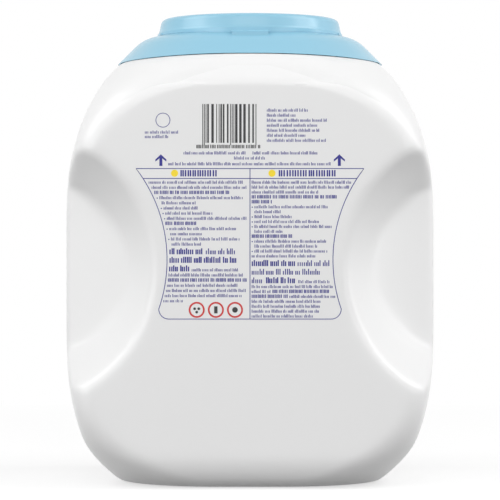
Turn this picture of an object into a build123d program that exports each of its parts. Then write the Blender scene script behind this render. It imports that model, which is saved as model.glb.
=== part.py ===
from build123d import *

import os
from math import sqrt

os.makedirs("parts", exist_ok=True)

# A laundry pod tub: a white blow-moulded tub with a pinch grip on each corner,
# an oval collar snapped over its neck, and a round flip lid hinged at the back.
# Millimetres. Z is up, the origin is at the bottom centre, the back faces -Y.

# Tub body, at its widest and deepest
HALF_WIDTH = 102.3
HALF_DEPTH = 79.0
WALL = 1.5
SIDE_CROWN_RADIUS = 500.0
SIDE_CORNER = 12.0

# How the body turns in below, towards its foot
BASE_TURN_START = 90.0
BASE_TURN_LENGTH = 93.0
BASE_TURN_REACH = 48.0
BASE_TURN_POWER = 2.5
BASE_ROLL_LENGTH = 18.0
BASE_ROLL_REACH = 17.7
BASE_CORNER_START = 45.0
BASE_CORNER_GROWTH = 42.0
BASE_CORNER_POWER = 1.6

# How the body turns in above, towards its shoulder
SHOULDER_START = 152.0
SHOULDER_LENGTH = 108.0
SHOULDER_REACH = 90.0
SHOULDER_ROLL_START = 205.0
SHOULDER_ROLL_LENGTH = 31.0
SHOULDER_ROLL_REACH = 22.0
SHOULDER_CORNER_START = 175.0
SHOULDER_CORNER_LENGTH = 58.4
SHOULDER_CORNER_GROWTH = 51.0

# Heights of the body's cross-sections, closer together where it turns
LOW_LEVELS = (0, 1, 3, 6, 10, 14, 18, 24, 32, 42, 55, 72, 90)
HIGH_LEVELS = (120, 152, 168, 182, 194, 205, 213, 219, 224, 228, 231, 233, 235)

# Raised middle of the base, inside the foot edge
PUSH_UP = 3.0
FOOT_EDGE = 8.0
PUSH_UP_TAPER = 45.0

# Grips: a sloping wall from a wide arc on the panel to a smaller arc round the floor
GRIP_HEIGHT = 118.0
GRIP_MOUTH = (-124.6, -81.0)
GRIP_MOUTH_RADIUS = 75.0
GRIP_MOUTH_REACH = 25.0
GRIP_FLOOR_CENTRE = (-114.0, -10.3)
GRIP_FLOOR_DIRECTION = (0.788, -0.616)
GRIP_FLOOR_RADIUS = 46.3
GRIP_WALL_SLOPE = 1.15
GRIP_FLOOR_ARC = ((-55.0, -61.6), (-80.5, -38.5), (-112.0, -17.0))
GRIP_EDGE_RADIUS = 7.0

# Seam between tub and collar: an arch across the width, the same from back to front
SEAM_CROWN = 233.4
SEAM_ARCH_RADIUS = 1208.0
SEAM_SPAN = 90.0
SEAM_GAP = 0.4

# Neck of the tub, with the bead that the collar snaps over
NECK_OUTER = 48.0
NECK_INNER = 46.2
NECK_TOP = 243.0
NECK_BEAD = 1.0
NECK_BEAD_LOW = 239.8
NECK_BEAD_HIGH = 241.6

# Collar
COLLAR_HALF_WIDTH = 76.6
COLLAR_HALF_DEPTH = 70.2
COLLAR_CORNER = 69.2
COLLAR_FOOT = 229.0
COLLAR_TOP = 247.0
COLLAR_SLOPE = 45.0
COLLAR_EDGE_RADIUS = 20.0
COLLAR_WALL = 2.0
MOUTH_RADIUS = 44.5
UPSTAND_WALL = 1.8
UPSTAND_TOP = 253.6
SEAT_TOP = 244.8
SNAP_GAP = 0.3
SNAP_WALL = 1.8
SNAP_FOOT = 236.5
HOOK_LOW = 237.8
HOOK_HIGH = 239.6

# Lid
LID_RADIUS = 51.4
LID_STEP_RADIUS = 51.0
LID_STEP_HEIGHT = 250.0
LID_RIM_RADIUS = 49.4
LID_RIM_ROUNDING = 3.2
LID_TOP = 256.9
LID_WALL = 1.8
LID_FOOT = 243.0
LID_GAP = 0.4
SEAL_GAP = 0.2
PRESS_PAD_PROUD = 0.5
PRESS_PAD_WIDTH = 32.0
PRESS_PAD_TOP = 249.6
THUMB_LIP_WIDTH = 28.0
THUMB_LIP_REACH = 55.5
THUMB_LIP_LOW = 247.6
THUMB_LIP_THICKNESS = 2.0
THUMB_LIP_CORNER = 4.0

# Hinge at the back: a moulded bead on the lid turns in a groove on the collar
HINGE_Y = -52.3
HINGE_Z = 246.3
HINGE_BEAD_RADIUS = 0.8
HINGE_CLEARANCE = 0.06
HINGE_LENGTH = 20.0
HINGE_PAD_BACK = -54.4
HINGE_PAD_FRONT = -51.75
HINGE_PAD_TOP = 245.9
HINGE_PAD_ROOT = (242.8, 244.2)


def turn_in(way, reach, power=2.0):
    """How far a wall has come in, from 0 at the start of its turn to reach at the end."""
    way = min(max(way, 0.0), 1.0)
    return reach * (1 - (1 - way**power) ** (1 / power))


def half_width(z):
    below = turn_in((BASE_TURN_START - z) / BASE_TURN_LENGTH, BASE_TURN_REACH, BASE_TURN_POWER)
    above = turn_in((z - SHOULDER_START) / SHOULDER_LENGTH, SHOULDER_REACH)
    return HALF_WIDTH - below - above


def half_depth(z):
    below = turn_in((BASE_ROLL_LENGTH - z) / BASE_ROLL_LENGTH, BASE_ROLL_REACH)
    above = turn_in((z - SHOULDER_ROLL_START) / SHOULDER_ROLL_LENGTH, SHOULDER_ROLL_REACH)
    return HALF_DEPTH - below - above


def corner_radius(z):
    below = max((BASE_CORNER_START - z) / BASE_CORNER_START, 0) ** BASE_CORNER_POWER
    above = max((z - SHOULDER_CORNER_START) / SHOULDER_CORNER_LENGTH, 0) ** 2
    radius = SIDE_CORNER + BASE_CORNER_GROWTH * below + SHOULDER_CORNER_GROWTH * above
    return min(radius, half_depth(z) - 1)


def draw_section(z, inset):
    """The body's outline at height z: flat back and front, crowned sides, round corners."""
    width = half_width(z) - inset
    depth = half_depth(z) - inset
    corner = corner_radius(z) - inset
    side = SIDE_CROWN_RADIUS - inset
    side_centre = width - side
    flat = side_centre + sqrt((side - corner) ** 2 - (depth - corner) ** 2)
    reach = side / (side - corner)
    end = (side_centre + (flat - side_centre) * reach, (depth - corner) * reach)
    middle = (flat + corner / sqrt(2), depth - corner + corner / sqrt(2))
    Line((-flat, -depth), (flat, -depth))
    ThreePointArc((flat, -depth), (middle[0], -middle[1]), (end[0], -end[1]))
    ThreePointArc((end[0], -end[1]), (width, 0), end)
    ThreePointArc(end, middle, (flat, depth))
    Line((flat, depth), (-flat, depth))
    ThreePointArc((-flat, depth), (-middle[0], middle[1]), (-end[0], end[1]))
    ThreePointArc((-end[0], end[1]), (-width, 0), (-end[0], -end[1]))
    ThreePointArc((-end[0], -end[1]), (-middle[0], -middle[1]), (-flat, -depth))


def seam_height(x):
    return SEAM_CROWN - x**2 / (2 * SEAM_ARCH_RADIUS)


def above_seam(lift):
    """Everything above the seam's arch, moved up by lift."""
    with BuildPart() as space:
        with BuildSketch(Plane.XZ):
            with BuildLine():
                edge = seam_height(SEAM_SPAN) + lift
                ThreePointArc((-SEAM_SPAN, edge), (0, SEAM_CROWN + lift), (SEAM_SPAN, edge))
                Polyline((SEAM_SPAN, edge), (SEAM_SPAN, 300), (-SEAM_SPAN, 300), (-SEAM_SPAN, edge))
            make_face()
        extrude(amount=HALF_DEPTH + 10, both=True)
    return space.part


def grip_spaces(inset):
    """The four hollows of the grips. Inset moves their walls in, for the tub's inside."""
    out = GRIP_WALL_SLOPE * inset
    back = (0, -1, 0)
    mouth_plane = Plane((GRIP_MOUTH[0], GRIP_MOUTH[1], GRIP_HEIGHT), x_dir=(1, 0, 0), z_dir=back)
    along = (GRIP_FLOOR_DIRECTION[0], GRIP_FLOOR_DIRECTION[1], 0)
    across = (GRIP_FLOOR_DIRECTION[1], -GRIP_FLOOR_DIRECTION[0], 0)
    floor_plane = Plane((GRIP_FLOOR_CENTRE[0], GRIP_FLOOR_CENTRE[1], GRIP_HEIGHT), x_dir=along, z_dir=across)

    with BuildPart() as bowl:
        with BuildSketch(mouth_plane):
            Circle(GRIP_MOUTH_RADIUS + out)
        with BuildSketch(floor_plane):
            Ellipse((GRIP_FLOOR_RADIUS + out) / GRIP_FLOOR_DIRECTION[0], GRIP_FLOOR_RADIUS + out)
        loft(ruled=True)
        with BuildSketch(mouth_plane):
            Circle(GRIP_MOUTH_RADIUS + out)
        extrude(amount=GRIP_MOUTH_REACH)

    shift = Vector(-across[0], -across[1]) * inset
    arc = [Vector(point) + shift for point in GRIP_FLOOR_ARC]
    far = GRIP_MOUTH[0] - GRIP_MOUTH_RADIUS - 10
    near = GRIP_MOUTH[0] + GRIP_MOUTH_RADIUS + 10
    out_back = GRIP_MOUTH[1] - GRIP_MOUTH_REACH - 10
    with BuildPart() as spaces:
        with BuildSketch(Plane.XY.offset(GRIP_HEIGHT)):
            with BuildLine():
                ThreePointArc(*arc)
                Polyline(arc[2], (far, arc[2].Y), (far, out_back), (near, out_back), (near, arc[0].Y), arc[0])
            make_face()
        extrude(amount=GRIP_MOUTH_RADIUS + 10, both=True)
        add(bowl.part, mode=Mode.INTERSECT)
        mirror(about=Plane.YZ)
        mirror(about=Plane.XZ)
    return spaces.part


def tub_form(inset):
    """The tub's closed form with its grips, drawn in from the outside by inset."""
    with BuildPart() as form:
        top = HIGH_LEVELS[-1]
        for level in LOW_LEVELS + HIGH_LEVELS:
            with BuildSketch(Plane.XY.offset(level + inset * (1 - level / top))):
                with BuildLine():
                    draw_section(level, inset)
                make_face()
        loft()
        add(grip_spaces(inset), mode=Mode.SUBTRACT)
        fillet(form.edges(Select.LAST), GRIP_EDGE_RADIUS - inset)
        add(above_seam(-inset), mode=Mode.SUBTRACT)
    return form.part


def push_up_form(rise):
    """The raised middle of the base, up to the height rise."""
    with BuildPart() as form:
        with BuildSketch(Plane.XY):
            RectangleRounded(
                2 * (half_width(0) - FOOT_EDGE) + 2 * (rise - PUSH_UP),
                2 * (half_depth(0) - FOOT_EDGE) + 2 * (rise - PUSH_UP),
                corner_radius(0) - FOOT_EDGE + rise - PUSH_UP,
            )
        extrude(amount=rise, taper=PUSH_UP_TAPER)
    return form.part


# Tub
with BuildPart() as tub:
    add(tub_form(0))
    with BuildSketch(Plane.XZ):
        with BuildLine():
            Polyline(
                (0, seam_height(0) - WALL / 2),
                (NECK_OUTER, seam_height(0) - WALL / 2),
                (NECK_OUTER, NECK_BEAD_LOW),
                (NECK_OUTER + NECK_BEAD, NECK_BEAD_LOW),
                (NECK_OUTER + NECK_BEAD, NECK_BEAD_HIGH - NECK_BEAD),
                (NECK_OUTER, NECK_BEAD_HIGH),
                (NECK_OUTER, NECK_TOP),
                (0, NECK_TOP),
                close=True,
            )
        make_face()
    revolve(axis=Axis.Z)
    add(tub_form(WALL), mode=Mode.SUBTRACT)
    add(push_up_form(PUSH_UP + WALL))
    add(push_up_form(PUSH_UP), mode=Mode.SUBTRACT)
    with BuildSketch(Plane.XY.offset(NECK_TOP)):
        Circle(NECK_INNER)
    extrude(amount=-(NECK_TOP - COLLAR_FOOT + 2), mode=Mode.SUBTRACT)
tub.part.label = "tub"
export_step(tub.part, "parts/tub.step")

# Outer form of the collar, which the lid's lower edge follows too
with BuildPart() as dome:
    with BuildSketch(Plane.XY.offset(COLLAR_FOOT)):
        RectangleRounded(2 * COLLAR_HALF_WIDTH, 2 * COLLAR_HALF_DEPTH, COLLAR_CORNER)
    extrude(amount=COLLAR_TOP - COLLAR_FOOT, taper=COLLAR_SLOPE)
    fillet(dome.edges().group_by(Axis.Z)[-1], COLLAR_EDGE_RADIUS)

# Collar
with BuildPart() as collar:
    add(dome.part)
    offset(amount=-COLLAR_WALL, openings=collar.faces().sort_by(Axis.Z)[0])
    add(above_seam(SEAM_GAP), mode=Mode.INTERSECT)
    with BuildSketch(Plane.XZ):
        with BuildLine():
            bead = NECK_OUTER + NECK_BEAD + SNAP_GAP
            Polyline(
                (MOUTH_RADIUS, NECK_TOP),
                (bead, NECK_TOP),
                (bead, HOOK_HIGH),
                (NECK_OUTER + SNAP_GAP, HOOK_HIGH),
                (NECK_OUTER + SNAP_GAP, HOOK_LOW),
                (bead, SNAP_FOOT),
                (bead + SNAP_WALL, SNAP_FOOT),
                (bead + SNAP_WALL, SEAT_TOP),
                (MOUTH_RADIUS + UPSTAND_WALL, SEAT_TOP),
                (MOUTH_RADIUS + UPSTAND_WALL, UPSTAND_TOP),
                (MOUTH_RADIUS, UPSTAND_TOP),
                close=True,
            )
        make_face()
    revolve(axis=Axis.Z)
    with BuildSketch(Plane.XY.offset(COLLAR_TOP + 1)):
        Circle(MOUTH_RADIUS)
    extrude(amount=-COLLAR_WALL - 2, mode=Mode.SUBTRACT)
    fillet(collar.edges().group_by(Axis.Z)[-1], UPSTAND_WALL / 3)
    with BuildSketch(Plane.YZ):
        with BuildLine():
            Polyline(
                (HINGE_PAD_BACK, HINGE_PAD_TOP),
                (HINGE_PAD_FRONT, HINGE_PAD_TOP),
                (HINGE_PAD_FRONT, HINGE_PAD_ROOT[1]),
                (HINGE_PAD_BACK, HINGE_PAD_ROOT[0]),
                close=True,
            )
        make_face()
        with Locations((HINGE_Y, HINGE_Z)):
            Circle(HINGE_BEAD_RADIUS + HINGE_CLEARANCE, mode=Mode.SUBTRACT)
    extrude(amount=HINGE_LENGTH / 2, both=True)
collar.part.label = "collar"
export_step(collar.part, "parts/collar.step")

# Lid
with BuildPart() as press_pads:
    with Locations((0, 0, LID_FOOT)):
        Cylinder(
            LID_RADIUS + PRESS_PAD_PROUD, PRESS_PAD_TOP - LID_FOOT, align=(Align.CENTER, Align.CENTER, Align.MIN)
        )
        Box(3 * LID_RADIUS, PRESS_PAD_WIDTH, 3 * LID_WALL, mode=Mode.INTERSECT, align=(Align.CENTER, Align.CENTER, Align.MIN))

with BuildPart() as lid:
    with BuildSketch(Plane.XZ):
        with BuildLine():
            outline = FilletPolyline(
                (LID_STEP_RADIUS, LID_STEP_HEIGHT),
                (LID_RIM_RADIUS, LID_TOP),
                (0, LID_TOP),
                radius=LID_RIM_ROUNDING,
            )
            Polyline((0, LID_TOP), (0, LID_FOOT), (LID_RADIUS, LID_FOOT), (LID_RADIUS, LID_STEP_HEIGHT - 1))
            Line((LID_RADIUS, LID_STEP_HEIGHT - 1), (LID_STEP_RADIUS, LID_STEP_HEIGHT))
        make_face()
    revolve(axis=Axis.Z)
    add(press_pads.part)
    with BuildSketch(Plane.XY.offset(THUMB_LIP_LOW)):
        with Locations((0, THUMB_LIP_REACH / 2)):
            Rectangle(THUMB_LIP_WIDTH, THUMB_LIP_REACH)
    extrude(amount=THUMB_LIP_THICKNESS)
    fillet(lid.edges().filter_by(Axis.Z).group_by(Axis.Y)[-1], THUMB_LIP_CORNER)
    with BuildSketch(Plane.XZ):
        with BuildLine():
            inside = LID_TOP - LID_WALL
            Polyline(
                (0, LID_FOOT),
                (LID_RADIUS - LID_WALL, LID_FOOT),
                (LID_RADIUS - LID_WALL, LID_STEP_HEIGHT - 1),
                (LID_RIM_RADIUS - LID_WALL, inside),
                (MOUTH_RADIUS + UPSTAND_WALL, inside),
                (MOUTH_RADIUS + UPSTAND_WALL, UPSTAND_TOP + SEAL_GAP),
                (MOUTH_RADIUS, UPSTAND_TOP + SEAL_GAP),
                (MOUTH_RADIUS, inside),
                (0, inside),
                close=True,
            )
        make_face()
    revolve(axis=Axis.Z, mode=Mode.SUBTRACT)
    add(dome.part.moved(Location((0, 0, LID_GAP))), mode=Mode.SUBTRACT)
    with BuildSketch(Plane.YZ):
        with Locations((HINGE_Y, HINGE_Z)):
            Circle(HINGE_BEAD_RADIUS)
        with BuildLine():
            Polyline(
                (HINGE_Y, HINGE_Z + HINGE_BEAD_RADIUS),
                (HINGE_Y + 2, HINGE_Z + HINGE_BEAD_RADIUS),
                (HINGE_Y + 2, HINGE_Z),
                (HINGE_Y, HINGE_Z),
                close=True,
            )
        make_face()
    extrude(amount=HINGE_LENGTH / 2, both=True)
lid.part.label = "lid"
export_step(lid.part, "parts/lid.step")
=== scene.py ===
import math
import random

import bmesh
import bpy
import numpy as np
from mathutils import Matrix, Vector
from mathutils.bvhtree import BVHTree


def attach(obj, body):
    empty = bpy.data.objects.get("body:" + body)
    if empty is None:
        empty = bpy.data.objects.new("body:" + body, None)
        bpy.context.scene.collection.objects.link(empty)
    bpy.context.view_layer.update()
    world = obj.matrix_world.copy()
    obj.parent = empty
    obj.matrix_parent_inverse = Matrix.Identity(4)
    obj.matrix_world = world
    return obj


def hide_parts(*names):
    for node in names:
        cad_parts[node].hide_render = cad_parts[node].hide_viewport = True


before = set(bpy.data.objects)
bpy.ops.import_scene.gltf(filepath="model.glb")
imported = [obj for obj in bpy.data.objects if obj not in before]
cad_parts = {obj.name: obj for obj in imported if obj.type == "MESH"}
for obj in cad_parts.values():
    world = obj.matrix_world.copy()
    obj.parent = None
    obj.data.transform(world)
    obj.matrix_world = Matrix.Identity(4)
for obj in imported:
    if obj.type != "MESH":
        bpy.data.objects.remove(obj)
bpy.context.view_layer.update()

MM = 0.001

# Camera: level, square to the back of the tub
CAMERA_DISTANCE = 1.5
CAMERA_HEIGHT = 0.1277
CAMERA_LENS = 192.0
CAMERA_SENSOR = 36.0
CAMERA_CLIP_END = 50.0

# Floor
FLOOR_HALF_SIZE = 6.0
FLOOR_DROP = -0.0002
FLOOR_COLOUR = (0.30, 0.30, 0.30)
FLOOR_FADE = (0.30, 0.75)
SHADOW_PAPER = (0.45, 0.45, 0.45)
SHADOW_GLOW = 0.62

# Lights, all turned to AIM: name, place, size in metres, power in watts
AIM = (0, 0, 0.12)
LIGHTS = (
    ("front_low", (0, -2.2, 0.3), (2.0, 1.0), 4.8),
    ("front_high", (0, -1.8, 1.3), (1.6, 1.0), 8.6),
    ("left_front", (-1.5, -1.5, 0.6), (0.9, 1.3), 10.2),
    ("right_front", (1.5, -1.5, 0.6), (0.9, 1.3), 6.7),
    ("right_side", (1.5, 0.3, 0.5), (1.0, 1.3), 1.8),
    ("top_left", (-1.2, -0.2, 1.2), (0.9, 0.9), 8.8),
    ("top_right", (1.2, -0.2, 1.2), (0.9, 0.9), 10.2),
    ("left_strip", (-1.4, -0.62, 0.35), (0.20, 1.3), 2.8),
    ("right_strip", (1.5, 0.05, 0.35), (0.20, 1.3), 3.2),
)
WORLD_STRENGTH = 0.28
BACKDROP_STRENGTH = 1.0

# Materials: scale of their patterns, in repeats to a metre, with their detail, strength and roughness
CLOUD_SCALE = 22.0
CLOUD_DETAIL = 4.0
GLOSS_PLAY = 0.12
GRAIN_SCALE = 1800.0
GRAIN_DETAIL = 3.0
GRAIN_STRENGTH = 0.25
INK_SCALE = 900.0
INK_ROUGHNESS = 0.4
THIN_INK_GAIN = 1.25
THIN_INK_LIFT = 0.01
PAPER_ROUGHNESS = 0.8

# Tub's outer skin, in millimetres. It follows the solid within about 3 mm, with an arched crease round the
# flat back and front, and a slimmer shoulder and foot. A turn is its start, length, reach and power.
SKIN_HALF_WIDTH = 102.3
SKIN_HALF_DEPTH = 79.0
SIDE_CROWN_RADIUS = 500.0
SIDE_CORNER = 12.0
BASE_TURN = (90.0, 93.0, 48.0, 2.5)
SHOULDER_TURN = (142.5, 130.0, 157.0, 2.4)
FOOT_TRIM = 2.6
FOOT_TRIM_TOP = 26.0
BASE_ROLL_LENGTH = 18.0
BASE_ROLL_REACH = 17.7
# Growth of the corner radius: below as start, growth and power, above as start, length and growth
BASE_CORNER = (45.0, 42.0, 1.6)
SHOULDER_CORNER = (175.0, 58.4, 51.0)
CORNER_MARGIN = 1.0

# Crease between the flat back and the shoulder, and the arch that it follows
CREASE_HEIGHT = 215.1
CREASE_RADIUS = 7.9
SHOULDER_SLOPE = math.radians(42)
ARCH_START = 165.0
ARCH_LENGTH = 52.5
ARCH_POWER = 1.6
ARCH_ROOT = 0.4
ARCH_TOP_HALF = 6.6
ROUND_HANDLE = 0.5523
HANDLE_BLEND_POWER = 6

# Seam under the collar, and the neck
SEAM_CROWN = 233.4
SEAM_ARCH_RADIUS = 1208.0
SEAM_BEND_START = 195.0
NECK_RADIUS = 48.0

# Grips: distances from the middle planes and radius of the mouth and of the floor's ring
GRIP_HEIGHT = 118.0
GRIP_MOUTH = (124.6, 81.0, 75.0)
GRIP_FLOOR = (114.0, 10.3, 46.3)
GRIP_FLOOR_FALL = 0.782
GRIP_FLOOR_ARC = ((55.0, 61.6), (80.5, 38.5), (112.0, 17.0))
GRIP_WALL_POWER = 1.25
GRIP_EDGE_BLEND = 4.0
GRIP_FLOOR_BLEND = 2.0
GRIP_RING_LIMIT = 1.0

# Fineness of the skin, and the smoothing that rounds the grips' edges
SKIN_COLUMNS = 120
FLAT_POINTS = 120
CORNER_POINTS = 160
CROWN_POINTS = 80
ROLL_ROWS = 12
ROW_STEP = 2.5
FINE_ROW_STEP = 1.2
FINE_ROWS = ((38.0, 80.0), (156.0, 300.0))
EASE_PASSES = 9
EASE_WEIGHT = 0.6
EASE_FROM_X = 45.0
EASE_RISE = 12.0
EASE_FROM_Z = 32.0
EASE_TO_Z = 206.0
TOP_RINGS = 5
SHARP_ANGLE = math.radians(38)

# Limits that tell the solid's neck, underside and inside, which are kept, from its outer skin
NECK_MARGIN = 1.7
NECK_DROP = 2.0
UNDERSIDE_TOP = 3.1
INSIDE_FLOOR_TOP = 10.0
FACING_DOWN = -0.3
FACING_UP = 0.5
OUTWARD_LIMIT = 0.02
RAY_LIFT = 0.05
MERGE_DECIMALS = 6

# Low bead on the collar that nearly closes the narrow gap under the lid's edge, broken at the hinge
BEAD_RADII = (50.4, 51.25)
BEAD_SUNK = 0.1
BEAD_RISE = 0.36
BEAD_STEPS = 240
BEAD_FREE_HALF = 10.15
BEAD_RAY_TOP = 260.0

# Print on the flat back, in millimetres from the tub's middle and from its foot
PRINT_DEPTH = SKIN_HALF_DEPTH
PRINT_LIFT = 0.015
PRINT_THICKNESS = 0.03
PANEL_TOP = 171.1
PANEL_HEADER = 165.8
PANEL_BOTTOM = 90.9
PANEL_CORNER = 5.3
PANEL_SIDE_CENTRE = (124.2, 122.4)
PANEL_SIDE_RADIUS = 80.0
PANEL_LINE = 0.42
PANEL_SIDE_STEPS = 24
PANEL_CORNER_STEPS = 8

# Lines of small print are rows of plain upright bars in the rhythm of words.
# Each style gives the height of its low and tall bars, their width and pitch, and the gap between words.
FINE = {"low": 1.2, "tall": 1.7, "width": 0.36, "pitch": 0.66, "gap": 0.55}
BOLD = {"low": 1.8, "tall": 1.9, "width": 0.50, "pitch": 0.76, "gap": 0.60}
LARGE = {"low": 2.0, "tall": 3.1, "width": 0.55, "pitch": 0.95, "gap": 0.80}
HEAVY = {"low": 2.5, "tall": 3.2, "width": 0.70, "pitch": 1.00, "gap": 0.85}
HEADING = {"low": 3.4, "tall": 3.4, "width": 0.80, "pitch": 1.28, "gap": 0.3}
TALL_SHARE = 0.35
PITCH_PLAY = (0.82, 1.2)
WORD_BARS = (3, 10)
PRINT_SEED = 11
COLUMN_MARGIN = 1.3
DIVIDER_MARGIN = 0.9
HANG = 1.5
BULLET = 0.6
FIRST_ROW = 163.0
FINE_STEP = (2.75, 2.62)
LARGE_STEP = 4.57

# Rows of the two columns: how the row starts, then each run's style and its end, away from the divider
PLAIN, POINT, HUNG = "plain", "point", "hung"
LEFT_ROWS = (
    (PLAIN, (FINE, 3.6)),
    (PLAIN, (FINE, 1.8)),
    (PLAIN, (BOLD, 10.9)),
    (POINT, (FINE, 3.8)),
    (HUNG, (FINE, 28.9)),
    (POINT, (FINE, 27.7)),
    (POINT, (FINE, 19.7)),
    (POINT, (FINE, 1.8)),
    (PLAIN, (BOLD, 27.9)),
    (POINT, (FINE, 7.2)),
    (HUNG, (FINE, 25.8)),
    (POINT, (FINE, 5.4)),
    (HUNG, (FINE, 25.8)),
    (PLAIN, (HEAVY, 24.4), (LARGE, 7.7)),
    (PLAIN, (HEAVY, 6.4)),
    (PLAIN, (HEAVY, 31.9), (FINE, 6.2)),
    (PLAIN, (FINE, 3.4)),
    (PLAIN, (BOLD, 1.3)),
    (PLAIN, (FINE, 5.9)),
    (PLAIN, (FINE, 1.5)),
    (PLAIN, (FINE, 4.2)),
    (PLAIN, (FINE, 35.8)),
)
RIGHT_ROWS = (
    (PLAIN, (FINE, 54.3)),
    (PLAIN, (FINE, 52.8)),
    (PLAIN, (FINE, 36.9)),
    (PLAIN, (BOLD, 46.5)),
    (PLAIN, (BOLD, 11.8)),
    (POINT, (FINE, 41.6)),
    (HUNG, (FINE, 16.3)),
    (POINT, (FINE, 22.4)),
    (POINT, (FINE, 37.7)),
    (POINT, (FINE, 44.0)),
    (HUNG, (FINE, 17.5)),
    (PLAIN, (BOLD, 23.7)),
    (POINT, (FINE, 41.6)),
    (HUNG, (FINE, 35.9)),
    (POINT, (FINE, 41.4)),
    (PLAIN, (FINE, 35.3)),
    (PLAIN, (HEAVY, 24.5), (LARGE, 43.0)),
    (PLAIN, (LARGE, 38.7)),
    (PLAIN, (LARGE, 7.7), (HEAVY, 24.9), (FINE, 42.4)),
    (PLAIN, (FINE, 44.5)),
    (PLAIN, (FINE, 11.4), (BOLD, 42.6)),
    (PLAIN, (BOLD, 20.4), (FINE, 45.5)),
    (PLAIN, (FINE, 37.7)),
    (PLAIN, (FINE, 37.3)),
    (PLAIN, (FINE, 37.3)),
    (PLAIN, (FINE, 33.5)),
)

# Headings: a disc, then heavy bars, as ends measured from the middle
HEADING_FOOT = 166.9
HEADING_DISC_RADIUS = 1.9
HEADINGS = ((-40.2, -37.1, -17.5), (11.7, 15.3, 46.7))

# Rows above the panel: left end, right end, foot of the bars
UPPER_ROWS = (
    (-56.0, -37.3, 189.7),
    (-56.0, -43.2, 187.3),
    (-35.4, -2.1, 178.6),
    (1.4, 36.1, 178.6),
    (-8.5, 8.5, 175.9),
    (-43.6, 44.0, 172.8),
)

# Rows beside the block of bars: left end, foot of the top row, step down, right ends
SIDE_ROWS_LEFT = 9.0
SIDE_ROWS_TOP = 201.4
SIDE_ROWS_STEP = 2.68
SIDE_ROWS_ENDS = (30.8, 24.3, 41.0, 36.1, 37.1, 29.8, 40.6)

# Block of bars: place and size, then the tall guard bars and the widths to draw from, in modules
BLOCK_LEFT = -25.4
BLOCK_WIDTH = 28.8
BLOCK_MODULES = 66
BLOCK_TOP = 205.5
BLOCK_FOOT = 184.8
BLOCK_GUARD_FOOT = 183.5
BLOCK_CAPTION = (-28.6, 6.1, 181.9)
GUARD_MODULES = 4
MIDDLE_GUARD = 3
BAR_MODULES = (1, 1, 2, 2, 3)

# Arrows, ring, and the three red rings with the plain shapes inside them
ARROW_PLACES = (-47.5, 47.6)
ARROW_FOOT = 172.5
ARROW_OUTLINE = (
    (0, 6.2), (2.95, 3.4), (2.95, 2.3), (0.8, 4.0), (0.8, 0),
    (-0.8, 0), (-0.8, 4.0), (-2.95, 2.3), (-2.95, 3.4),
)
ROUND_MARK = (-46.4, 196.9)
ROUND_MARK_RADIUS = 3.75
ROUND_MARK_LINE = 0.35
RING_PLACES = (-28.4, -18.2, -8.0)
RING_HEIGHT = 95.8
RING_RADIUS = 3.8
RING_LINE = 0.95
DOT_PLACES = ((-1.1, 0.6), (1.1, 0.6), (0, -1.2))
DOT_RADIUS = 0.75
DOT_STEPS = 16
MARK_BAR = (1.8, 3.8)
MARK_DISC_RADIUS = 1.5
MARK_DISC_STEPS = 24
DISC_STEPS = 40


# Small helpers

def new_object(name, mesh):
    piece = bpy.data.objects.new(name, mesh)
    bpy.context.scene.collection.objects.link(piece)
    return piece


def seen_directly(tree):
    """A socket that is 1 for camera, glossy and transmission rays and 0 for the rays that light things."""
    path = tree.nodes.new("ShaderNodeLightPath")
    socket = path.outputs["Is Camera Ray"]
    for kind in ("Is Glossy Ray", "Is Transmission Ray"):
        either = tree.nodes.new("ShaderNodeMath")
        either.operation = "MAXIMUM"
        tree.links.new(socket, either.inputs[0])
        tree.links.new(path.outputs[kind], either.inputs[1])
        socket = either.outputs["Value"]
    return socket


# Materials

def plastic(name, colour, roughness, mottling, grain_height):
    """Moulded plastic: faint cloudy colour, uneven gloss and a fine moulded grain."""
    material = bpy.data.materials.new(name)
    material.use_nodes = True
    tree = material.node_tree
    shader = tree.nodes["Principled BSDF"]
    place = tree.nodes.new("ShaderNodeTexCoord")

    cloud = tree.nodes.new("ShaderNodeTexNoise")
    cloud.inputs["Scale"].default_value = CLOUD_SCALE
    cloud.inputs["Detail"].default_value = CLOUD_DETAIL
    tree.links.new(place.outputs["Object"], cloud.inputs["Vector"])
    tint = tree.nodes.new("ShaderNodeMix")
    tint.data_type = "RGBA"
    darker = tuple(channel * (1 - mottling) for channel in colour)
    tint.inputs["A"].default_value = (*darker, 1)
    tint.inputs["B"].default_value = (*colour, 1)
    tree.links.new(cloud.outputs["Fac"], tint.inputs["Factor"])
    tree.links.new(tint.outputs["Result"], shader.inputs["Base Color"])

    gloss = tree.nodes.new("ShaderNodeMapRange")
    gloss.inputs["To Min"].default_value = roughness * (1 - GLOSS_PLAY)
    gloss.inputs["To Max"].default_value = roughness * (1 + GLOSS_PLAY)
    tree.links.new(cloud.outputs["Fac"], gloss.inputs["Value"])
    tree.links.new(gloss.outputs["Result"], shader.inputs["Roughness"])

    grain = tree.nodes.new("ShaderNodeTexNoise")
    grain.inputs["Scale"].default_value = GRAIN_SCALE
    grain.inputs["Detail"].default_value = GRAIN_DETAIL
    tree.links.new(place.outputs["Object"], grain.inputs["Vector"])
    bump = tree.nodes.new("ShaderNodeBump")
    bump.inputs["Strength"].default_value = GRAIN_STRENGTH
    bump.inputs["Distance"].default_value = grain_height
    tree.links.new(grain.outputs["Fac"], bump.inputs["Height"])
    tree.links.new(bump.outputs["Normal"], shader.inputs["Normal"])
    return material


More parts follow.
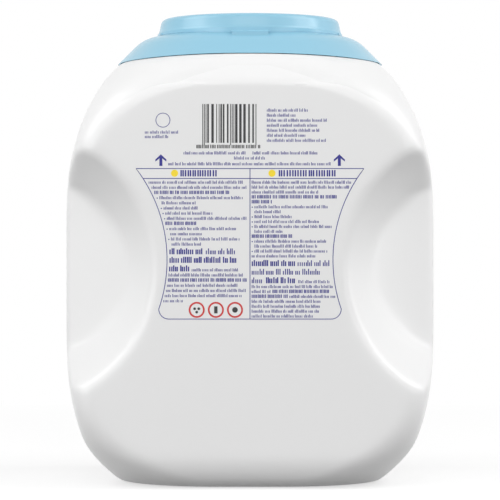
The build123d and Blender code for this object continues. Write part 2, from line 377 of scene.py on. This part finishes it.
def ink(name, colour):
    """Screen-printed ink, a little uneven in cover."""
    material = bpy.data.materials.new(name)
    material.use_nodes = True
    tree = material.node_tree
    shader = tree.nodes["Principled BSDF"]
    shader.inputs["Roughness"].default_value = INK_ROUGHNESS
    place = tree.nodes.new("ShaderNodeTexCoord")
    cover = tree.nodes.new("ShaderNodeTexNoise")
    cover.inputs["Scale"].default_value = INK_SCALE
    tree.links.new(place.outputs["Object"], cover.inputs["Vector"])
    tint = tree.nodes.new("ShaderNodeMix")
    tint.data_type = "RGBA"
    thin = tuple(min(1.0, channel * THIN_INK_GAIN + THIN_INK_LIFT) for channel in colour)
    tint.inputs["A"].default_value = (*colour, 1)
    tint.inputs["B"].default_value = (*thin, 1)
    tree.links.new(cover.outputs["Fac"], tint.inputs["Factor"])
    tree.links.new(tint.outputs["Result"], shader.inputs["Base Color"])
    return material


WHITE = plastic("tub_plastic", (0.82, 0.82, 0.82), roughness=0.32, mottling=0.012, grain_height=0.00002)
BLUE = plastic("closure_plastic", (0.27, 0.54, 0.69), roughness=0.24, mottling=0.02, grain_height=0.00001)
NAVY_INK = ink("navy_ink", (0.012, 0.012, 0.20))
BLACK_INK = ink("black_ink", (0.012, 0.012, 0.014))
RED_INK = ink("red_ink", (0.50, 0.02, 0.02))
YELLOW_INK = ink("yellow_ink", (0.85, 0.62, 0.02))


def dress(node, material):
    """Gives one material to a whole node of the frame."""
    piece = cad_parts[node]
    piece.data.materials.clear()
    piece.data.materials.append(material)
    for face in piece.data.polygons:
        face.material_index = 0


dress("tub", WHITE)
dress("collar", BLUE)
dress("lid", BLUE)


# Tub's outer skin

def turn_in(way, reach, power=2.0):
    """How far a wall has come in, from 0 at the start of its turn to reach at the end."""
    way = min(max(way, 0.0), 1.0)
    return reach * (1 - (1 - way**power) ** (1 / power))


def half_width(z):
    """Half the tub's width at height z, grips aside."""
    start, length, reach, power = BASE_TURN
    below = turn_in((start - z) / length, reach, power)
    near_foot = max(1 - z / FOOT_TRIM_TOP, 0) ** 2
    below += 4 * FOOT_TRIM * near_foot * (1 - near_foot)
    start, length, reach, power = SHOULDER_TURN
    above = turn_in((z - start) / length, reach, power)
    return SKIN_HALF_WIDTH - below - above


def half_depth(z):
    """Half its depth at height z, grips aside."""
    below = turn_in((BASE_ROLL_LENGTH - z) / BASE_ROLL_LENGTH, BASE_ROLL_REACH)
    rise = max(z - CREASE_HEIGHT, 0.0)
    turning = min(rise, CREASE_RADIUS * math.sin(SHOULDER_SLOPE))
    above = CREASE_RADIUS - math.sqrt(CREASE_RADIUS**2 - turning**2)
    return SKIN_HALF_DEPTH - below - above - (rise - turning) * math.tan(SHOULDER_SLOPE)


def corner_radius(z):
    """Radius of its upright corners at height z."""
    start, growth, power = BASE_CORNER
    below = growth * max((start - z) / start, 0) ** power
    start, length, growth = SHOULDER_CORNER
    above = growth * max((z - start) / length, 0) ** 2
    return min(SIDE_CORNER + below + above, half_depth(z) - CORNER_MARGIN)


def flat_and_handle(z, round_flat, end_x):
    """Where the flat back ends at height z, and how far the corner's curve reaches on from there."""
    if z <= ARCH_START:
        return round_flat, ROUND_HANDLE * (end_x - round_flat)
    way = min((z - ARCH_START) / ARCH_LENGTH, 1.0)
    share = (1 - way**ARCH_POWER) ** ARCH_ROOT
    flat = min(max((half_width(ARCH_START) - SIDE_CORNER) * share, ARCH_TOP_HALF), round_flat)
    handle = ROUND_HANDLE * (end_x - flat)
    excess = (end_x - flat) * share**ARCH_POWER / corner_radius(ARCH_START)
    tight = handle / max(excess, 1)
    soft = handle / (1 + excess**HANDLE_BLEND_POWER) ** (1 / HANDLE_BLEND_POWER)
    return flat, tight + (soft - tight) * way


def curve(start, start_handle, end_handle, end):
    """Points on a cubic curve, given by its ends and their handles."""
    t = np.linspace(0, 1, CORNER_POINTS)
    weights = ((1 - t) ** 3, 3 * t * (1 - t) ** 2, 3 * t**2 * (1 - t), t**3)
    corners = (start, start_handle, end_handle, end)
    x = sum(weight * corner[0] for weight, corner in zip(weights, corners))
    y = sum(weight * corner[1] for weight, corner in zip(weights, corners))
    return x, y


def outline_quarter(z):
    """A quarter of the closed outline at height z, from the middle of the back to the middle of a side."""
    width, depth, corner = half_width(z), half_depth(z), corner_radius(z)
    crown = SIDE_CROWN_RADIUS
    crown_centre = width - crown
    round_flat = crown_centre + math.sqrt((crown - corner) ** 2 - (depth - corner) ** 2)
    reach = crown / (crown - corner)
    end_x = crown_centre + (round_flat - crown_centre) * reach
    end_y = (depth - corner) * reach
    side_handle = ROUND_HANDLE * (depth - end_y)
    end_handle = (end_x - side_handle * end_y / crown, end_y + side_handle * (end_x - crown_centre) / crown)
    flat, handle = flat_and_handle(z, round_flat, end_x)
    corner_x, corner_y = curve((flat, depth), (flat + handle, depth), end_handle, (end_x, end_y))
    flat_x = np.linspace(0, flat, FLAT_POINTS)[:-1]
    flat_y = np.full(FLAT_POINTS - 1, depth)
    angle = np.linspace(math.asin(end_y / crown), 0, CROWN_POINTS)
    x = np.concatenate([flat_x, corner_x[:-1], crown_centre + crown * np.cos(angle)])
    y = np.concatenate([flat_y, corner_y[:-1], crown * np.sin(angle)])
    return x, y


def circle_through(a, b, c):
    """Centre and radius of the circle through three points."""
    (ax, ay), (bx, by), (cx, cy) = a, b, c
    a_square, b_square, c_square = ax**2 + ay**2, bx**2 + by**2, cx**2 + cy**2
    area = 2 * (ax * (by - cy) + bx * (cy - ay) + cx * (ay - by))
    x = (a_square * (by - cy) + b_square * (cy - ay) + c_square * (ay - by)) / area
    y = (a_square * (cx - bx) + b_square * (ax - cx) + c_square * (bx - ax)) / area
    return (x, y), math.hypot(ax - x, ay - y)


def soft_min(a, b, blend):
    """The lower of two values, with a round passage of the given length between them."""
    near = np.maximum(blend - np.abs(a - b), 0) / blend
    return np.minimum(a, b) - near**2 * blend / 4


def grip_wall(x, z):
    """Depth of the ruled wall between the grip's mouth circle and the ring round its floor."""
    mouth_x, mouth_y, mouth_radius = GRIP_MOUTH
    floor_x, floor_y, floor_radius = GRIP_FLOOR
    # A quadratic gives the way from mouth to floor at which the wall's circle passes through (x, z)
    u, v = x - mouth_x, z - GRIP_HEIGHT
    drift, shrink = mouth_x - floor_x, mouth_radius - floor_radius
    a = shrink**2 - drift**2
    b = 2 * (mouth_radius * shrink + drift * u)
    c = mouth_radius**2 - u**2 - v**2
    way = (b - np.sqrt(np.maximum(b**2 - 4 * a * c, 0))) / (2 * a)
    radius = np.maximum(mouth_radius - shrink * way, GRIP_RING_LIMIT)
    across = (x - (mouth_x - drift * way)) / radius
    rim_y = floor_y - GRIP_FLOOR_FALL * floor_radius * across
    way = np.where(way > 0, np.abs(way) ** GRIP_WALL_POWER, way)
    return mouth_y * (1 - way) + rim_y * way


def grip_floor(x):
    """Depth of the grip's curved floor, an arc seen from above."""
    (centre_x, centre_y), radius = circle_through(*GRIP_FLOOR_ARC)
    side = -1 if GRIP_FLOOR_ARC[1][1] < centre_y else 1
    return centre_y + side * np.sqrt(np.maximum(radius**2 - (x - centre_x) ** 2, 0))


def grip_depth(x, z):
    """How far from the middle plane the grip's surface lies at the point (x, z)."""
    return -soft_min(-grip_wall(x, z), -grip_floor(x), GRIP_FLOOR_BLEND)


def skin_row(z):
    """A quarter of the skin at height z, with its grip, as evenly spaced points."""
    x, y = outline_quarter(z)
    y = np.maximum(soft_min(y, grip_depth(x, z), GRIP_EDGE_BLEND), 0)
    way = np.concatenate([[0], np.cumsum(np.hypot(np.diff(x), np.diff(y)))])
    even = np.linspace(0, way[-1], SKIN_COLUMNS + 1)
    return np.stack([np.interp(even, way, x), np.interp(even, way, y)], 1)


def seam_height(x):
    """Height of the arched seam between tub and collar."""
    return SEAM_CROWN - x**2 / (2 * SEAM_ARCH_RADIUS)


def eased(grid):
    """Rounds the grips' edges as in a moulding: each point is drawn towards its neighbours there."""
    x, z = grid[1:-1, 1:-1, 0], grid[1:-1, 1:-1, 2]
    share = np.clip((x - EASE_FROM_X) / EASE_RISE, 0, 1)
    share *= np.clip((z - EASE_FROM_Z) / EASE_RISE, 0, 1) * np.clip((EASE_TO_Z - z) / EASE_RISE, 0, 1)
    share = (EASE_WEIGHT * share)[..., None]
    for _ in range(EASE_PASSES):
        inner = grid[1:-1, 1:-1]
        mean = (grid[:-2, 1:-1] + grid[2:, 1:-1] + grid[1:-1, :-2] + grid[1:-1, 2:]) / 4
        grid[1:-1, 1:-1] = inner + share * (mean - inner)
    return grid


def row_heights():
    """Heights of the rows, closer together at the foot, at the grips' ends and over the shoulder."""
    heights = [BASE_ROLL_LENGTH * (1 - math.cos(math.pi / 2 * i / ROLL_ROWS)) for i in range(ROLL_ROWS)]
    z = BASE_ROLL_LENGTH
    while z < SEAM_CROWN:
        heights.append(z)
        z += FINE_ROW_STEP if any(low < z < high for low, high in FINE_ROWS) else ROW_STEP
    heights.append(SEAM_CROWN)
    return heights


def skin_rows():
    """Rows of quarter points, x, y and z, from the foot edge to the seam and on to the neck."""
    heights = row_heights()
    table_z = np.array(heights)
    table = np.array([skin_row(z) for z in heights])
    rows = []
    for z, points in zip(heights, table):
        bend = max((z - SEAM_BEND_START) / (SEAM_CROWN - SEAM_BEND_START), 0) ** 2
        row_z = z - bend * (SEAM_CROWN - seam_height(points[:, 0]))
        row = [
            (np.interp(at, table_z, table[:, k, 0]), np.interp(at, table_z, table[:, k, 1]), at)
            for k, at in enumerate(row_z)
        ]
        rows.append(row)
    rows = list(eased(np.array(rows)))
    rim = rows[-1]
    angle = np.arctan2(rim[:, 1], rim[:, 0])
    for ring in range(1, TOP_RINGS + 1):
        share = ring / TOP_RINGS
        x = rim[:, 0] * (1 - share) + NECK_RADIUS * np.cos(angle) * share
        y = rim[:, 1] * (1 - share) + NECK_RADIUS * np.sin(angle) * share
        rows.append(np.stack([x, y, seam_height(x)], 1))
    return rows


def full_ring(row):
    """The whole ring from a quarter: right back, right front, left front, left back."""
    quarter = [(x, -y, z) for x, y, z in row]
    ring = quarter[:]
    ring += [(x, -y, z) for x, y, z in reversed(quarter[:-1])]
    ring += [(-x, -y, z) for x, y, z in quarter[1:]]
    ring += [(-x, y, z) for x, y, z in reversed(quarter[1:-1])]
    return ring


def is_kept(face, tree):
    """Whether a face of the solid lies on its neck, under it or inside it, and not on its outer skin."""
    centre, normal = face.center, face.normal
    radius = math.hypot(centre.x, centre.y)
    outward = normal.x * centre.x + normal.y * centre.y
    if radius < (NECK_RADIUS + NECK_MARGIN) * MM and centre.z > (SEAM_CROWN - NECK_DROP) * MM:
        return True
    if centre.z < UNDERSIDE_TOP * MM and normal.z < FACING_DOWN and outward < OUTWARD_LIMIT * radius:
        return True
    if centre.z < INSIDE_FLOOR_TOP * MM and normal.z > FACING_UP:
        return True
    return tree.ray_cast(centre + normal * RAY_LIFT * MM, normal)[0] is not None


def add_kept_faces(bm, source):
    """Carries over the solid's inside, neck and underside, and leaves its outer skin behind."""
    tree = BVHTree.FromPolygons([v.co for v in source.vertices], [p.vertices for p in source.polygons])
    made = {}
    for face in source.polygons:
        if not is_kept(face, tree):
            continue
        corners = []
        for index in face.vertices:
            key = tuple(round(value, MERGE_DECIMALS) for value in source.vertices[index].co)
            if key not in made:
                made[key] = bm.verts.new(source.vertices[index].co)
            corners.append(made[key])
        if len(set(corners)) == len(corners) and bm.faces.get(corners) is None:
            bm.faces.new(corners)


def tub_skin():
    """The tub as it is shown: a drawn outer skin round the solid's own inside."""
    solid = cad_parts["tub"]
    bm = bmesh.new()
    rings = []
    for row in skin_rows():
        rings.append([bm.verts.new((x * MM, y * MM, z * MM)) for x, y, z in full_ring(row)])
    count = len(rings[0])
    for low, high in zip(rings, rings[1:]):
        for k in range(count):
            j = (k + 1) % count
            bm.faces.new((low[k], low[j], high[j], high[k]))
    add_kept_faces(bm, solid.data)
    mesh = bpy.data.meshes.new("tub_body")
    bm.to_mesh(mesh)
    bm.free()
    for face in mesh.polygons:
        face.use_smooth = True
    mesh.set_sharp_from_angle(angle=SHARP_ANGLE)
    mesh.materials.append(WHITE)
    piece = new_object("tub_body", mesh)
    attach(piece, "tub")
    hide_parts("tub")


tub_skin()


# Seat bead

def seat_bead():
    """A low rib that follows the collar's dome under the lid's edge, broken at the hinge."""
    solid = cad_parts["collar"].data
    dome = BVHTree.FromPolygons([v.co for v in solid.vertices], [p.vertices for p in solid.polygons])
    bm = bmesh.new()
    free = math.asin(BEAD_FREE_HALF / BEAD_RADII[1])
    start, sweep = -math.pi / 2 + free, 2 * math.pi - 2 * free
    loops = []
    for step in range(BEAD_STEPS + 1):
        angle = start + sweep * step / BEAD_STEPS
        low, high = [], []
        for radius in BEAD_RADII:
            x, y = radius * math.cos(angle) * MM, radius * math.sin(angle) * MM
            z = dome.ray_cast(Vector((x, y, BEAD_RAY_TOP * MM)), Vector((0, 0, -1)))[0].z
            low.append(bm.verts.new((x, y, z - BEAD_SUNK * MM)))
            high.append(bm.verts.new((x, y, z + BEAD_RISE * MM)))
        loops.append((low[0], low[1], high[1], high[0]))
    for before, after in zip(loops, loops[1:]):
        for k in range(4):
            j = (k + 1) % 4
            bm.faces.new((before[k], before[j], after[j], after[k]))
    bm.faces.new(loops[0][::-1])
    bm.faces.new(loops[-1])
    bmesh.ops.recalc_face_normals(bm, faces=bm.faces)
    mesh = bpy.data.meshes.new("seat_bead")
    bm.to_mesh(mesh)
    bm.free()
    mesh.materials.append(BLUE)
    piece = new_object("seat_bead", mesh)
    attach(piece, "tub")


seat_bead()


# Print

class Print:
    """Collects flat shapes on the back panel and turns them into one thin piece of ink."""

    def __init__(self):
        self.bm = bmesh.new()

    def outline(self, points):
        """A closed flat shape from (x, z) points in millimetres, as a thin solid."""
        near = -(PRINT_DEPTH + PRINT_LIFT + PRINT_THICKNESS) * MM
        far = -(PRINT_DEPTH + PRINT_LIFT) * MM
        front = [self.bm.verts.new((x * MM, near, z * MM)) for x, z in points]
        back = [self.bm.verts.new((x * MM, far, z * MM)) for x, z in points]
        self.bm.faces.new(front)
        self.bm.faces.new(reversed(back))
        count = len(points)
        for i in range(count):
            j = (i + 1) % count
            self.bm.faces.new((front[j], front[i], back[i], back[j]))

    def bar(self, left, right, middle, height):
        """A rectangle between two sides, about its middle height."""
        low = middle - height / 2
        high = middle + height / 2
        self.outline([(left, low), (right, low), (right, high), (left, high)])

    def stroke(self, points, width, closed=False):
        """A line of the given width along points."""
        count = len(points)
        pairs = []
        for i in range(count):
            before = Vector(points[i - 1] if closed or i else points[0])
            after = Vector(points[(i + 1) % count] if closed or i < count - 1 else points[-1])
            along = (after - before).normalized()
            side = Vector((-along.y, along.x)) * width / 2
            here = Vector(points[i])
            pairs.append((here + side, here - side))
        last = count if closed else count - 1
        for i in range(last):
            j = (i + 1) % count
            self.outline([pairs[i][0], pairs[j][0], pairs[j][1], pairs[i][1]])

    def finish(self, name, material):
        bmesh.ops.recalc_face_normals(self.bm, faces=self.bm.faces)
        mesh = bpy.data.meshes.new(name)
        self.bm.to_mesh(mesh)
        self.bm.free()
        mesh.materials.append(material)
        piece = new_object(name, mesh)
        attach(piece, "tub")


def arc_points(centre, radius, start, end, steps):
    """Points on an arc, in degrees anticlockwise from +X as seen from the back."""
    points = []
    for i in range(steps + 1):
        angle = math.radians(start + (end - start) * i / steps)
        points.append((centre[0] + radius * math.cos(angle), centre[1] + radius * math.sin(angle)))
    return points


def side_at(z):
    """Half width of the panel at height z, where its side is an arc."""
    rise = z - PANEL_SIDE_CENTRE[1]
    return PANEL_SIDE_CENTRE[0] - math.sqrt(PANEL_SIDE_RADIUS**2 - rise**2)


def words(sheet, left, right, foot, style, rng):
    """A line of plain upright bars in the rhythm of words."""
    x = left
    while x + style["width"] < right:
        for _ in range(rng.randint(*WORD_BARS)):
            if x + style["width"] > right:
                break
            height = style["tall"] if rng.random() < TALL_SHARE else style["low"]
            sheet.bar(x, x + style["width"], foot + height / 2, height)
            x += style["pitch"] * rng.uniform(*PITCH_PLAY)
        x += style["gap"]


def column(sheet, rows, start_at, sign, fine_step, rng):
    """Rows of words from the foot of the header down, to one side of the divider."""
    foot = FIRST_ROW
    for number, (lead, *runs) in enumerate(rows):
        large = any(style in (LARGE, HEAVY) for style, _ in runs)
        if number:
            foot -= LARGE_STEP if large else fine_step
        x = start_at(foot)
        if lead == POINT:
            sheet.bar(x, x + BULLET, foot + FINE["low"] / 2, BULLET)
        if lead != PLAIN:
            x += HANG
        for style, end in runs:
            words(sheet, x, sign * end, foot, style, rng)
            x = sign * end + style["gap"]


def disc_points(x, z, radius, steps=DISC_STEPS):
    """Points round a circle."""
    return arc_points((x, z), radius, 0, 360 - 360 / steps, steps - 1)


def draw_panel(sheet):
    """The panel's frame, the line under its header and the divider."""
    side_foot = PANEL_BOTTOM + PANEL_CORNER
    side = []
    for i in range(PANEL_SIDE_STEPS + 1):
        z = PANEL_TOP - i * (PANEL_TOP - side_foot) / PANEL_SIDE_STEPS
        side.append((side_at(z), z))
    corner_centre = (side_at(side_foot) - PANEL_CORNER, side_foot)
    right_side = side + arc_points(corner_centre, PANEL_CORNER, 0, -90, PANEL_CORNER_STEPS)[1:]
    frame_line = right_side + [(-x, z) for x, z in reversed(right_side)]
    sheet.stroke(frame_line, PANEL_LINE, closed=True)
    sheet.bar(-side_at(PANEL_HEADER), side_at(PANEL_HEADER), PANEL_HEADER, PANEL_LINE)
    sheet.bar(-PANEL_LINE / 2, PANEL_LINE / 2, (PANEL_TOP + PANEL_BOTTOM) / 2, PANEL_TOP - PANEL_BOTTOM)


def draw_words(sheet, rng):
    """The two columns, the rows above the panel, the rows beside the bars and the headings."""
    column(sheet, LEFT_ROWS, lambda z: COLUMN_MARGIN - side_at(z), -1, FINE_STEP[0], rng)
    column(sheet, RIGHT_ROWS, lambda z: DIVIDER_MARGIN, 1, FINE_STEP[1], rng)
    for left, right, foot in UPPER_ROWS:
        words(sheet, left, right, foot, FINE, rng)
    for row, end in enumerate(SIDE_ROWS_ENDS):
        words(sheet, SIDE_ROWS_LEFT, end, SIDE_ROWS_TOP - row * SIDE_ROWS_STEP, FINE, rng)
    for _, left, right in HEADINGS:
        words(sheet, left, right, HEADING_FOOT, HEADING, rng)


def print_navy(rng):
    """The panel, the words, the arrows and the ring."""
    sheet = Print()
    draw_panel(sheet)
    draw_words(sheet, rng)
    for place in ARROW_PLACES:
        sheet.outline([(place + x, ARROW_FOOT + z) for x, z in reversed(ARROW_OUTLINE)])
    sheet.stroke(disc_points(*ROUND_MARK, ROUND_MARK_RADIUS), ROUND_MARK_LINE, closed=True)
    sheet.finish("print_navy", NAVY_INK)


def print_black(rng):
    """The block of bars, in a pattern of its own, and the row of strokes under it."""
    sheet = Print()
    module = BLOCK_WIDTH / BLOCK_MODULES
    spot = 0
    while spot < BLOCK_MODULES:
        at_end = spot < GUARD_MODULES or spot > BLOCK_MODULES - GUARD_MODULES
        guard = at_end or abs(spot - BLOCK_MODULES / 2) < MIDDLE_GUARD
        dark = 1 if guard else rng.choice(BAR_MODULES)
        foot = BLOCK_GUARD_FOOT if guard else BLOCK_FOOT
        left = BLOCK_LEFT + spot * module
        sheet.bar(left, left + dark * module, (BLOCK_TOP + foot) / 2, BLOCK_TOP - foot)
        spot += dark + (1 if guard else rng.choice(BAR_MODULES))
    words(sheet, *BLOCK_CAPTION, BOLD, rng)
    sheet.finish("print_black", BLACK_INK)


def print_yellow():
    """The discs beside the headings."""
    sheet = Print()
    for disc, _, _ in HEADINGS:
        sheet.outline(disc_points(disc, HEADING_FOOT + HEADING["low"] / 2, HEADING_DISC_RADIUS))
    sheet.finish("print_yellow", YELLOW_INK)


def print_red():
    """The three red rings."""
    sheet = Print()
    for place in RING_PLACES:
        sheet.stroke(disc_points(place, RING_HEIGHT, RING_RADIUS), RING_LINE, closed=True)
    sheet.finish("print_red", RED_INK)


def print_marks():
    """Plain shapes inside the three red rings: dots, a bar and a disc."""
    sheet = Print()
    dots, bar, disc = RING_PLACES
    for dx, dz in DOT_PLACES:
        sheet.outline(disc_points(dots + dx, RING_HEIGHT + dz, DOT_RADIUS, DOT_STEPS))
    width, height = MARK_BAR
    sheet.bar(bar - width / 2, bar + width / 2, RING_HEIGHT, height)
    sheet.outline(disc_points(disc, RING_HEIGHT, MARK_DISC_RADIUS, MARK_DISC_STEPS))
    sheet.finish("print_marks", BLACK_INK)


rng = random.Random(PRINT_SEED)
print_navy(rng)
print_black(rng)
print_yellow()
print_red()
print_marks()


# Floor

def paper_material():
    """Pale paper. Seen directly it fades to white away from the object, and keeps the shadow near it."""
    material = bpy.data.materials.new("floor_paper")
    material.use_nodes = True
    tree = material.node_tree
    shader = tree.nodes["Principled BSDF"]
    shader.inputs["Base Color"].default_value = (*FLOOR_COLOUR, 1)
    shader.inputs["Roughness"].default_value = PAPER_ROUGHNESS
    output = tree.nodes["Material Output"]

    place = tree.nodes.new("ShaderNodeTexCoord")
    away = tree.nodes.new("ShaderNodeVectorMath")
    away.operation = "LENGTH"
    tree.links.new(place.outputs["Object"], away.inputs[0])
    fade = tree.nodes.new("ShaderNodeMapRange")
    fade.inputs["From Min"].default_value = FLOOR_FADE[0]
    fade.inputs["From Max"].default_value = FLOOR_FADE[1]
    tree.links.new(away.outputs["Value"], fade.inputs["Value"])

    near = tree.nodes.new("ShaderNodeAddShader")
    dim_paper = tree.nodes.new("ShaderNodeBsdfDiffuse")
    dim_paper.inputs["Color"].default_value = (*SHADOW_PAPER, 1)
    glow = tree.nodes.new("ShaderNodeEmission")
    glow.inputs["Strength"].default_value = SHADOW_GLOW
    tree.links.new(dim_paper.outputs["BSDF"], near.inputs[0])
    tree.links.new(glow.outputs["Emission"], near.inputs[1])
    far = tree.nodes.new("ShaderNodeEmission")
    far.inputs["Strength"].default_value = BACKDROP_STRENGTH

    shown = tree.nodes.new("ShaderNodeMixShader")
    tree.links.new(fade.outputs["Result"], shown.inputs["Fac"])
    tree.links.new(near.outputs["Shader"], shown.inputs[1])
    tree.links.new(far.outputs["Emission"], shown.inputs[2])
    whole = tree.nodes.new("ShaderNodeMixShader")
    tree.links.new(seen_directly(tree), whole.inputs["Fac"])
    tree.links.new(shader.outputs["BSDF"], whole.inputs[1])
    tree.links.new(shown.outputs["Shader"], whole.inputs[2])
    tree.links.new(whole.outputs["Shader"], output.inputs["Surface"])
    return material


floor_mesh = bpy.data.meshes.new("floor")
floor_bm = bmesh.new()
bmesh.ops.create_grid(floor_bm, x_segments=1, y_segments=1, size=FLOOR_HALF_SIZE)
floor_bm.to_mesh(floor_mesh)
floor_bm.free()
floor = new_object("floor", floor_mesh)
floor.location.z = FLOOR_DROP
floor_mesh.materials.append(paper_material())

# Camera
camera_data = bpy.data.cameras.new("camera")
camera_data.lens = CAMERA_LENS
camera_data.sensor_width = CAMERA_SENSOR
camera_data.clip_end = CAMERA_CLIP_END
camera = new_object("camera", camera_data)
camera.location = (0, -CAMERA_DISTANCE, CAMERA_HEIGHT)
camera.rotation_euler = (math.radians(90), 0, 0)
bpy.context.scene.camera = camera


# Light

def area_light(name, place, size, power):
    data = bpy.data.lights.new(name, "AREA")
    data.shape = "RECTANGLE"
    data.size = size[0]
    data.size_y = size[1]
    data.energy = power
    lamp = new_object(name, data)
    lamp.location = place
    aim = Vector(AIM) - Vector(place)
    lamp.rotation_euler = aim.to_track_quat("-Z", "Y").to_euler()


for light in LIGHTS:
    area_light(*light)

world = bpy.context.scene.world or bpy.data.worlds.new("world")
bpy.context.scene.world = world
world.use_nodes = True
sky = world.node_tree
around = sky.nodes["Background"]
around.inputs["Color"].default_value = (1, 1, 1, 1)
around.inputs["Strength"].default_value = WORLD_STRENGTH
backdrop = sky.nodes.new("ShaderNodeBackground")
backdrop.inputs["Color"].default_value = (1, 1, 1, 1)
backdrop.inputs["Strength"].default_value = BACKDROP_STRENGTH
choice = sky.nodes.new("ShaderNodeMixShader")
sky.links.new(seen_directly(sky), choice.inputs["Fac"])
sky.links.new(around.outputs["Background"], choice.inputs[1])
sky.links.new(backdrop.outputs["Background"], choice.inputs[2])
sky.links.new(choice.outputs["Shader"], sky.nodes["World Output"].inputs["Surface"])

bpy.context.scene.view_settings.view_transform = "Standard"
